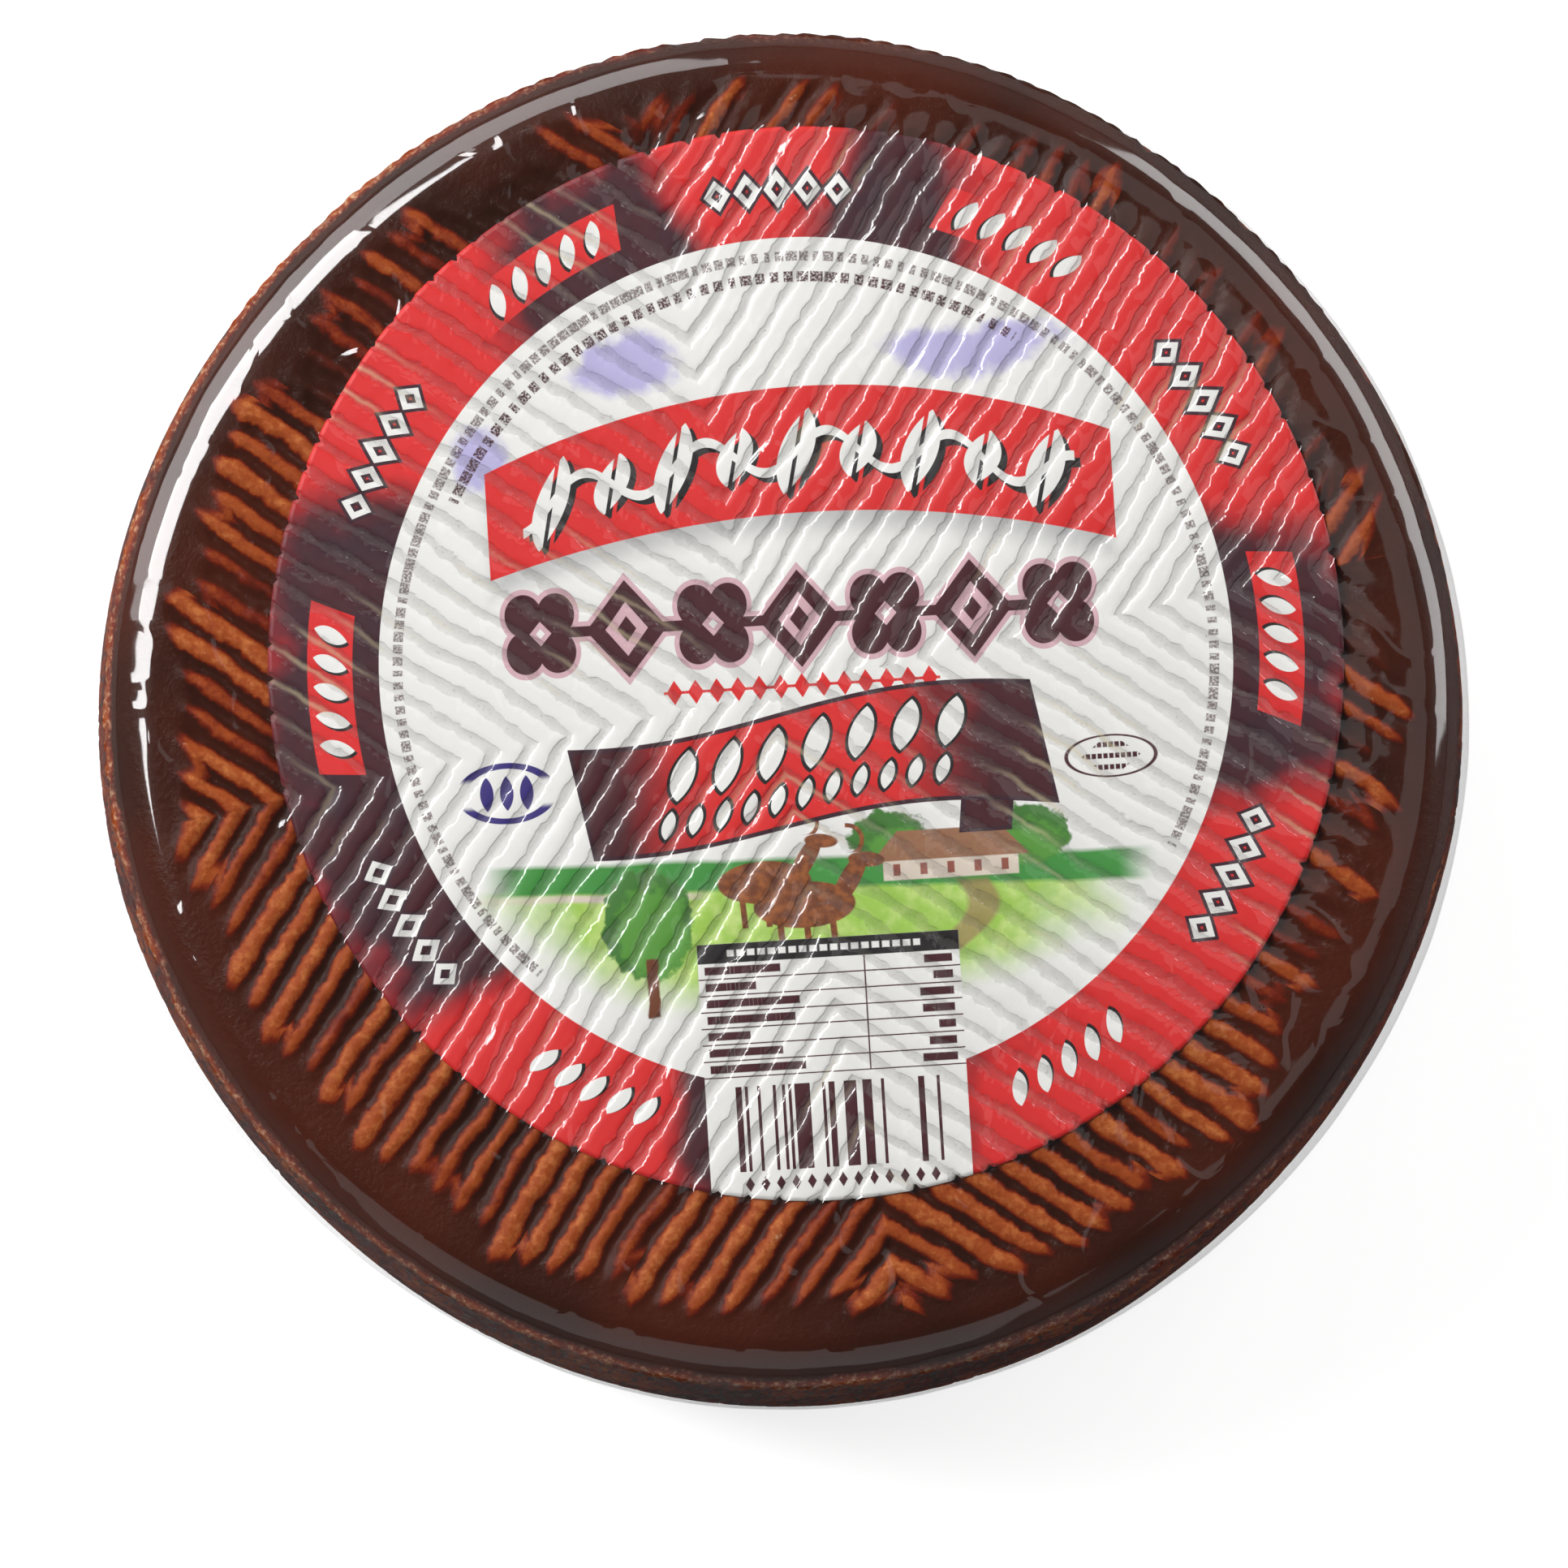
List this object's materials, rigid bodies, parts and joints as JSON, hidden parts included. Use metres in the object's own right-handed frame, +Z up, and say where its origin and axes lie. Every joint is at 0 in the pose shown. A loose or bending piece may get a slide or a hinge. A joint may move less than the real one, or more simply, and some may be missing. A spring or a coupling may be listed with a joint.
{
  "type": "cheese wheel",
  "caption": "Whole round cheese with a dark coated, mould-marked rind, a round paper label on its top face and a clear shrunk bag.",
  "frame": {"origin": "middle of the face that the wheel lies on", "axes": "+Z up along the wheel's axis, towards the labelled face; +X to the right and +Y towards the top of the label's artwork, within a few degrees"},
  "size_m": [0.215, 0.215, 0.086],
  "materials": {
    "rind": "thick glossy dark-brown coat over a relief-marked rind, worn through to grainy orange-brown on the ridge tops",
    "label_paper": "printed coated paper pressed into the relief under the film",
    "clear_film": "thin clear shrink film, glossy, finely wrinkled"
  },
  "bodies": {
    "root": {"cheese_wheel": "rind", "label": "label_paper", "shrink_film": "clear_film"}
  },
  "joints": []
}
